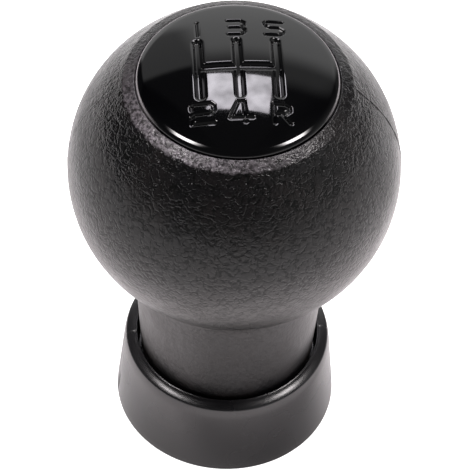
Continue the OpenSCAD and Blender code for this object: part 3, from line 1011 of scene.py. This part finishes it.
def pale_ground(name, tint):
    """Even white card: the camera sees it white, glossy surfaces see its glow with painted light
    and painted shadow, and it keeps the shadow.
    """
    material = bpy.data.materials.new(name)
    tree = emptied(material)
    path = add(tree, "ShaderNodeLightPath").outputs
    glossy = path["Is Glossy Ray"]
    where = add(tree, "ShaderNodeTexCoord").outputs["Object"]
    reach = vector_node(tree, "LENGTH", where)
    x, y = apart(tree, where)[:2]
    # The lit card is small: in a gloss surface it fades towards the dim room and to the left
    lit = product(tree, eased(tree, reach, 1.0, 0.15, 0.045, 0.12),
                  eased(tree, x, 0.70, 1.0, -0.03, 0.005))
    # Painted light: a brighter patch in the card's glow at the left in front shows on the neck
    patch = product(tree, spread(tree, reach, 0.0, 0.5, 0.023, 0.027),
                    spread(tree, reach, 1.0, 0.0, 0.034, 0.044),
                    spread(tree, x, 1.0, 0.0, -0.018, -0.008),
                    spread(tree, y, 1.0, 0.0, -0.004, 0.012))
    lit = math_node(tree, "MULTIPLY_ADD", lit, patch, lit)
    # Painted shadow: close to the knob, and most of all in front of it, the card's glow and colour
    # are darker in gloss
    ahead = math_node(tree, "MULTIPLY_ADD", x, -0.45, y)
    shade = math_node(tree, "MAXIMUM", eased(tree, ahead, 0.42, 1.0, -0.024, -0.010),
                      eased(tree, reach, 0.0, 1.0, 0.024, 0.036))
    near = eased(tree, reach, 0.4, 1.0, 0.018, 0.032)
    gloss = product(tree, near, shade, lit, glossy)
    tint = mix(tree, product(tree, glossy, spread(tree, shade, 1.0, 0.0)), tint, (0, 0, 0, 1))
    seen = math_node(tree, "MAXIMUM", path["Is Camera Ray"], path["Is Transmission Ray"])
    card = add(tree, "ShaderNodeBsdfDiffuse", None, {"Color": tint})
    white = add(tree, "ShaderNodeEmission", None,
                {"Color": mix(tree, glossy, (1, 1, 1, 1), srgb("#FFF1F3")),
                 "Strength": math_node(tree, "MAXIMUM", seen, gloss)})
    both = add(tree, "ShaderNodeAddShader", None, {0: card.outputs[0], 1: white.outputs[0]})
    add(tree, "ShaderNodeOutputMaterial", None, {"Surface": both.outputs[0]})
    return material


def studio_world():
    """White for the camera and soft fill light. Gloss sees a bright sweep behind the knob, dimmer
    on the left, that ends under a dark ceiling, and a dim room in front."""
    world = bpy.data.worlds.new("Studio")
    bpy.context.scene.world = world
    tree = emptied(world)
    path = add(tree, "ShaderNodeLightPath").outputs
    x, y, z = apart(tree, add(tree, "ShaderNodeTexCoord").outputs["Generated"])
    depth = math_node(tree, "MAXIMUM", y, 0.02)
    rise = math_node(tree, "DIVIDE", z, depth)
    aside = math_node(tree, "DIVIDE", x, depth)
    right = math_node(tree, "ADD", eased(tree, rise, 0.85, 0.0, 0.70, 1.02),
                      eased(tree, rise, 0.33, 0.035, 1.15, 1.55))
    left = math_node(tree, "ADD", eased(tree, rise, 0.80, 0.0, 0.36, 0.50),
                     eased(tree, rise, 0.46, 0.035, 0.95, 1.05))
    behind = choose(tree, eased(tree, aside, 0.0, 1.0, -0.22, -0.06), left, right)
    ends = product(tree, eased(tree, aside, 0.06, 1.0, -0.66, -0.56),
                   eased(tree, aside, 1.0, 0.12, 0.72, 1.05))
    room = product(tree, eased(tree, x, 0.17, 0.55, 0.2, 0.7), eased(tree, z, 1.0, 0.25, 0.4, 0.8))
    studio = choose(tree, eased(tree, y, 0.0, 1.0, -0.05, 0.6), room,
                    product(tree, behind, ends))
    open_ray = math_node(tree, "MAXIMUM", path["Is Camera Ray"], path["Is Transmission Ray"])
    light = choose(tree, open_ray, choose(tree, path["Is Glossy Ray"], 0.55, studio), 1.0)
    sky = add(tree, "ShaderNodeBackground", None, {"Color": (1, 1, 1, 1), "Strength": light})
    add(tree, "ShaderNodeOutputWorld", None, {"Surface": sky.outputs[0]})


class KNOB_OT_stage(bpy.types.Operator):
    """Camera at the photograph's angle, white ground, world and three soft lights"""
    bl_idname = "knob.stage"
    bl_label = "Stage"

    def execute(self, context):
        sizes = context.scene.knob_stage
        lens = bpy.data.cameras.new("Camera")
        lens.lens = sizes.lens
        lens.sensor_width = 36
        lens.clip_start, lens.clip_end = 0.05, 20
        camera = bpy.data.objects.new("Camera", lens)
        ahead = Vector((0.05850, 0.63141, -0.77324))
        right = Vector((0.99795, -0.05720, 0.02880))
        above = Vector((0.02604, 0.77333, 0.63346))
        placed(camera, (right, above, -ahead), Vector((-34.07, -374.33, 497.32))*MM)
        context.scene.camera = camera

        # The card lies a hair below the foot of the knob
        half, low = 2500, -0.02
        ground = new_piece("ground", [(-half, -half, low), (half, -half, low),
                                      (half, half, low), (-half, half, low)], [(0, 1, 2, 3)],
                           pale_ground("White card", tuple(sizes.ground)))
        studio_world()
        aim = (0, 0, 0.07)
        softbox("Main softbox", (0.069, 0.625, 0.777), (0.042, 0.380, 0.924), 0.345,
                sizes.main_light, "#FBF7FF", aim)
        softbox("Left softbox", (-0.458, -0.043, 0.888), (-0.328, 0.130, 0.936), 0.60,
                sizes.side_light, "#FFFAFA", aim, 0.04)
        softbox("Right softbox", (0.516, -0.060, 0.854), (0.402, 0.112, 0.909), 0.60,
                sizes.side_light, "#FFFAFA", aim, 0.04)
        context.scene.view_settings.view_transform = "Standard"
        return {"FINISHED"}


class KNOB_PT_build(bpy.types.Panel):
    bl_idname = "KNOB_PT_build"
    bl_label = "Gear shift knob"
    bl_space_type = "VIEW_3D"
    bl_region_type = "UI"
    bl_category = "Knob"

    def draw(self, context):
        groups = {"knob.stage": context.scene.knob_stage, "knob.cap": context.scene.knob_cap,
                  "knob.skin": context.scene.knob_skin, "knob.collar": context.scene.knob_collar,
                  "knob.insert": context.scene.knob_insert, "knob.inner_parts": None}
        for name, sizes in groups.items():
            part = self.layout.box()
            part.operator(name)
            for key in (sizes.__annotations__ if sizes else ()):
                part.prop(sizes, key)


GROUPS = {"knob_cap": KnobCap, "knob_skin": KnobSkin, "knob_collar": KnobCollar,
          "knob_insert": KnobInsert, "knob_stage": KnobStage}
CLASSES = [*GROUPS.values(), KNOB_OT_stage, KNOB_OT_cap, KNOB_OT_skin, KNOB_OT_collar,
           KNOB_OT_insert, KNOB_OT_inner_parts, KNOB_PT_build]


def register():
    for kind in CLASSES:
        bpy.utils.register_class(kind)
    for name, group in GROUPS.items():
        setattr(bpy.types.Scene, name, bpy.props.PointerProperty(type=group))


def unregister():
    for name in GROUPS:
        delattr(bpy.types.Scene, name)
    for kind in reversed(CLASSES):
        bpy.utils.unregister_class(kind)


def main():
    register()
    bpy.ops.knob.stage()
    bpy.ops.knob.cap()
    bpy.ops.knob.skin()
    bpy.ops.knob.collar()
    bpy.ops.knob.insert()
    bpy.ops.knob.inner_parts()


if __name__ == "__main__":
    main()
